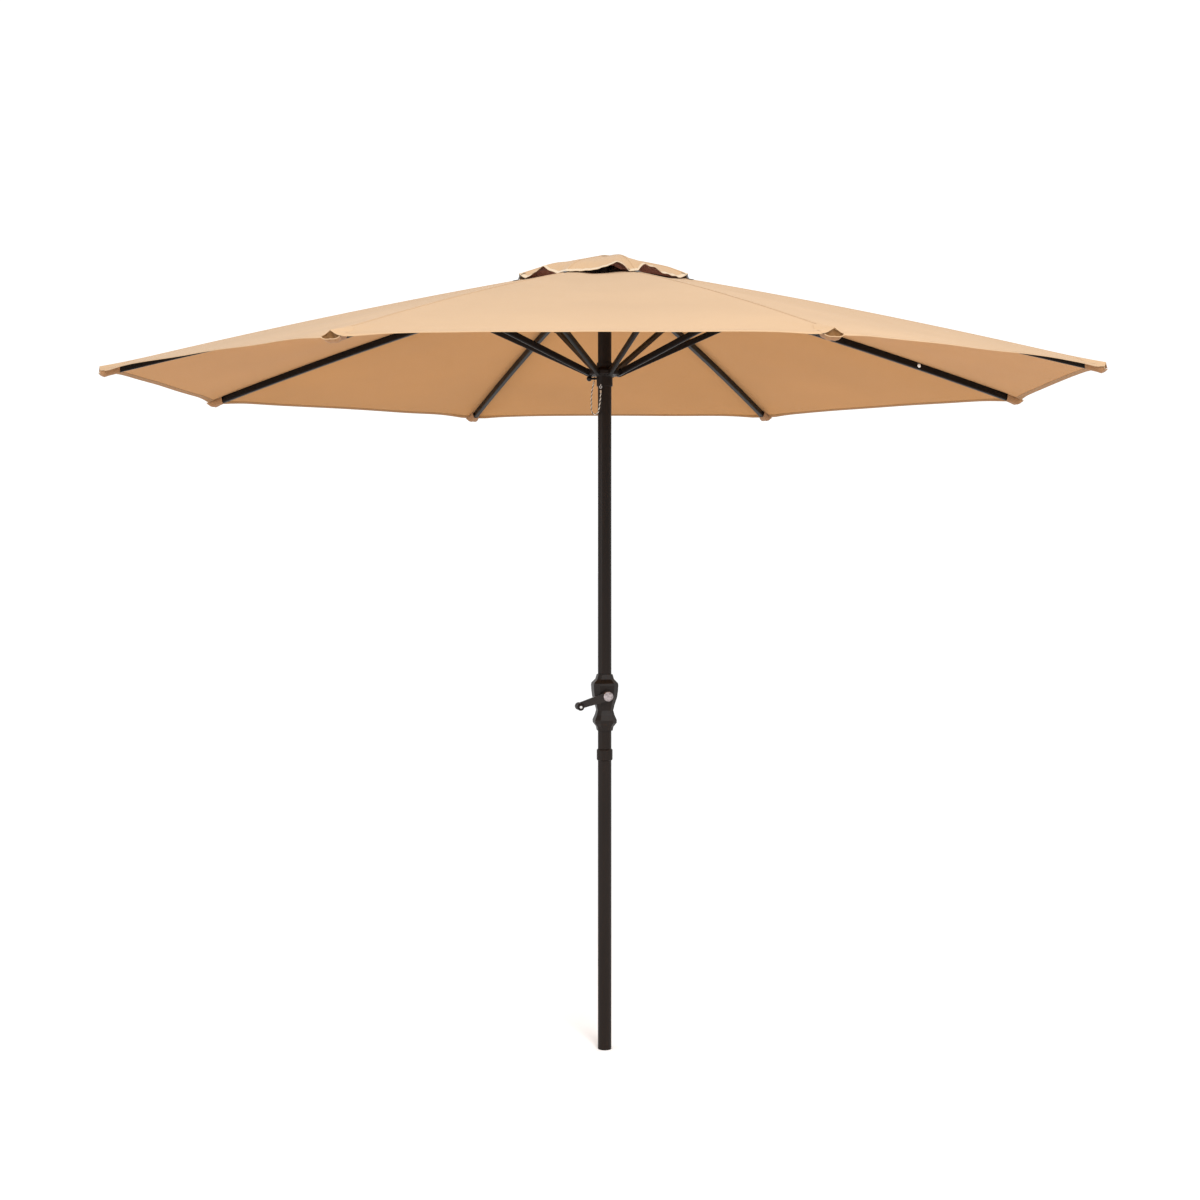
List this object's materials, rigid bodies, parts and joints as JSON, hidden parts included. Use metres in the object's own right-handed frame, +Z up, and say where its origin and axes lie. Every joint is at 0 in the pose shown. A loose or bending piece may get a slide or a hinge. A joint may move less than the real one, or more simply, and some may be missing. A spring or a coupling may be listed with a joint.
{
  "type": "patio umbrella",
  "caption": "Crank-opened centre-pole market umbrella with an octagonal vented fabric canopy, folding ribs and struts, sliding runner and two-piece pole.",
  "frame": {"origin": "centre of the pole's foot, at its lower end face", "axes": "+Z up along the pole; the crank faces -Y, turned 14 degrees towards +X; the first rib is 22.5 degrees from +X towards +Y"},
  "size_m": [2.5038, 2.5038, 2.217],
  "materials": {
    "pole_paint": "satin",
    "rib_paint": "satin",
    "rib_black": "satin",
    "housing_plastic": "satin",
    "hub_plastic": "satin",
    "plated_steel": "satin",
    "bright_disc": "satin",
    "pin_black": "satin",
    "keeper_twine": "matte",
    "canopy_cloth": "matte"
  },
  "bodies": {
    "pole": {"lower_pole": "pole_paint", "foot_plug": "hub_plastic", "pole_collar": "pole_paint", "joint_sleeve": "pole_paint", "upper_pole": "pole_paint", "top_hub": "hub_plastic", "hub_pins": "plated_steel", "top_cap": "hub_plastic", "finial": "hub_plastic", "pulley_pin": "plated_steel", "crank_housing_front": "housing_plastic", "crank_housing_rear": "housing_plastic", "housing_screws": "plated_steel", "crank_bushes": "hub_plastic"},
    "pulley": {"pulley": "hub_plastic"},
    "crank": {"crank_shaft": "plated_steel", "cord_spool": "hub_plastic", "crank_arm": "housing_plastic", "crank_disc": "bright_disc", "knob_pin": "plated_steel"},
    "knob": {"crank_knob": "hub_plastic"},
    "runner": {"runner": "hub_plastic", "runner_rivets": "plated_steel", "cord_eye": "plated_steel", "keeper_cord": "keeper_twine"},
    "lock_pin": {"lock_pin": "pin_black"},
    "rib_1": {"rib_1": "rib_paint", "rib_fittings_1": "rib_black", "canopy_panel_1": "canopy_cloth"},
    "strut_1": {"strut_1": "rib_paint"},
    "rib_2": {"rib_2": "rib_paint", "rib_fittings_2": "rib_black", "canopy_panel_2": "canopy_cloth"},
    "strut_2": {"strut_2": "rib_paint"},
    "rib_3": {"rib_3": "rib_paint", "rib_fittings_3": "rib_black", "canopy_panel_3": "canopy_cloth"},
    "strut_3": {"strut_3": "rib_paint"},
    "rib_4": {"rib_4": "rib_paint", "rib_fittings_4": "rib_black", "canopy_panel_4": "canopy_cloth"},
    "strut_4": {"strut_4": "rib_paint"},
    "rib_5": {"rib_5": "rib_paint", "rib_fittings_5": "rib_black", "canopy_panel_5": "canopy_cloth"},
    "strut_5": {"strut_5": "rib_paint"},
    "rib_6": {"rib_6": "rib_paint", "rib_fittings_6": "rib_black", "canopy_panel_6": "canopy_cloth"},
    "strut_6": {"strut_6": "rib_paint"},
    "rib_7": {"rib_7": "rib_paint", "rib_fittings_7": "rib_black", "canopy_panel_7": "canopy_cloth"},
    "strut_7": {"strut_7": "rib_paint"},
    "rib_8": {"rib_8": "rib_paint", "rib_fittings_8": "rib_black", "canopy_panel_8": "canopy_cloth"},
    "strut_8": {"strut_8": "rib_paint"}
  },
  "joints": [
    {"name": "crank_turn", "type": "hinge", "parent": "pole", "child": "crank", "pos_m": [0, 0, 0.988], "axis": [0.2419, -0.9703, 0], "range_deg": [0, 3240]},
    {"name": "knob_spin", "type": "hinge", "parent": "crank", "child": "knob", "pos_m": [-0.0798, -0.0199, 0.96286], "axis": [0.2419, -0.9703, 0], "continuous": true},
    {"name": "pulley_spin", "type": "hinge", "parent": "pole", "child": "pulley", "pos_m": [0, 0, 2.16], "axis": [1, 0, 0], "range_deg": [-2481.85, 0]},
    {"name": "runner_slide", "type": "slide", "parent": "pole", "child": "runner", "axis": [0, 0, 1], "range_m": [-0.55005, 0]},
    {"name": "lock_pin_pull", "type": "slide", "parent": "runner", "child": "lock_pin", "axis": [-1, 0, 0], "range_m": [0, 0.03]},
    {"name": "rib_fold_1", "type": "hinge", "parent": "pole", "child": "rib_1", "pos_m": [0.02956, 0.01225, 2.16918], "axis": [-0.3827, 0.9239, 0], "range_deg": [0, 69.01], "deforming": ["canopy_panel_1"]},
    {"name": "strut_fold_1", "type": "hinge", "parent": "rib_1", "child": "strut_1", "pos_m": [0.39731, 0.16457, 2.05921], "axis": [-0.3827, 0.9239, 0], "range_deg": [-131.05, 0]},
    {"name": "rib_fold_2", "type": "hinge", "parent": "pole", "child": "rib_2", "pos_m": [0.01225, 0.02956, 2.16918], "axis": [-0.9239, 0.3827, 0], "range_deg": [0, 69.01], "deforming": ["canopy_panel_2"]},
    {"name": "strut_fold_2", "type": "hinge", "parent": "rib_2", "child": "strut_2", "pos_m": [0.16457, 0.39731, 2.05921], "axis": [-0.9239, 0.3827, 0], "range_deg": [-131.05, 0]},
    {"name": "rib_fold_3", "type": "hinge", "parent": "pole", "child": "rib_3", "pos_m": [-0.01225, 0.02956, 2.16918], "axis": [-0.9239, -0.3827, 0], "range_deg": [0, 69.01], "deforming": ["canopy_panel_3"]},
    {"name": "strut_fold_3", "type": "hinge", "parent": "rib_3", "child": "strut_3", "pos_m": [-0.16457, 0.39731, 2.05921], "axis": [-0.9239, -0.3827, 0], "range_deg": [-131.05, 0]},
    {"name": "rib_fold_4", "type": "hinge", "parent": "pole", "child": "rib_4", "pos_m": [-0.02956, 0.01225, 2.16918], "axis": [-0.3827, -0.9239, 0], "range_deg": [0, 69.01], "deforming": ["canopy_panel_4"]},
    {"name": "strut_fold_4", "type": "hinge", "parent": "rib_4", "child": "strut_4", "pos_m": [-0.39731, 0.16457, 2.05921], "axis": [-0.3827, -0.9239, 0], "range_deg": [-131.05, 0]},
    {"name": "rib_fold_5", "type": "hinge", "parent": "pole", "child": "rib_5", "pos_m": [-0.02956, -0.01225, 2.16918], "axis": [0.3827, -0.9239, 0], "range_deg": [0, 69.01], "deforming": ["canopy_panel_5"]},
    {"name": "strut_fold_5", "type": "hinge", "parent": "rib_5", "child": "strut_5", "pos_m": [-0.39731, -0.16457, 2.05921], "axis": [0.3827, -0.9239, 0], "range_deg": [-131.05, 0]},
    {"name": "rib_fold_6", "type": "hinge", "parent": "pole", "child": "rib_6", "pos_m": [-0.01225, -0.02956, 2.16918], "axis": [0.9239, -0.3827, 0], "range_deg": [0, 69.01], "deforming": ["canopy_panel_6"]},
    {"name": "strut_fold_6", "type": "hinge", "parent": "rib_6", "child": "strut_6", "pos_m": [-0.16457, -0.39731, 2.05921], "axis": [0.9239, -0.3827, 0], "range_deg": [-131.05, 0]},
    {"name": "rib_fold_7", "type": "hinge", "parent": "pole", "child": "rib_7", "pos_m": [0.01225, -0.02956, 2.16918], "axis": [0.9239, 0.3827, 0], "range_deg": [0, 69.01], "deforming": ["canopy_panel_7"]},
    {"name": "strut_fold_7", "type": "hinge", "parent": "rib_7", "child": "strut_7", "pos_m": [0.16457, -0.39731, 2.05921], "axis": [0.9239, 0.3827, 0], "range_deg": [-131.05, 0]},
    {"name": "rib_fold_8", "type": "hinge", "parent": "pole", "child": "rib_8", "pos_m": [0.02956, -0.01225, 2.16918], "axis": [0.3827, 0.9239, 0], "range_deg": [0, 69.01], "deforming": ["canopy_panel_8"]},
    {"name": "strut_fold_8", "type": "hinge", "parent": "rib_8", "child": "strut_8", "pos_m": [0.39731, -0.16457, 2.05921], "axis": [0.3827, 0.9239, 0], "range_deg": [-131.05, 0]}
  ],
  "couplings": [
    {"joint": "pulley_spin", "follows": "crank_turn", "ratio": -0.766},
    {"joint": "runner_slide", "follows": "crank_turn", "m_per_rad": -0.0097268},
    {"joint": "rib_fold_1", "follows": "crank_turn", "ratio": 0.021296},
    {"joint": "strut_fold_1", "follows": "crank_turn", "ratio": -0.040446},
    {"joint": "rib_fold_2", "follows": "crank_turn", "ratio": 0.021296},
    {"joint": "strut_fold_2", "follows": "crank_turn", "ratio": -0.040446},
    {"joint": "rib_fold_3", "follows": "crank_turn", "ratio": 0.021296},
    {"joint": "strut_fold_3", "follows": "crank_turn", "ratio": -0.040446},
    {"joint": "rib_fold_4", "follows": "crank_turn", "ratio": 0.021296},
    {"joint": "strut_fold_4", "follows": "crank_turn", "ratio": -0.040446},
    {"joint": "rib_fold_5", "follows": "crank_turn", "ratio": 0.021296},
    {"joint": "strut_fold_5", "follows": "crank_turn", "ratio": -0.040446},
    {"joint": "rib_fold_6", "follows": "crank_turn", "ratio": 0.021296},
    {"joint": "strut_fold_6", "follows": "crank_turn", "ratio": -0.040446},
    {"joint": "rib_fold_7", "follows": "crank_turn", "ratio": 0.021296},
    {"joint": "strut_fold_7", "follows": "crank_turn", "ratio": -0.040446},
    {"joint": "rib_fold_8", "follows": "crank_turn", "ratio": 0.021296},
    {"joint": "strut_fold_8", "follows": "crank_turn", "ratio": -0.040446}
  ]
}
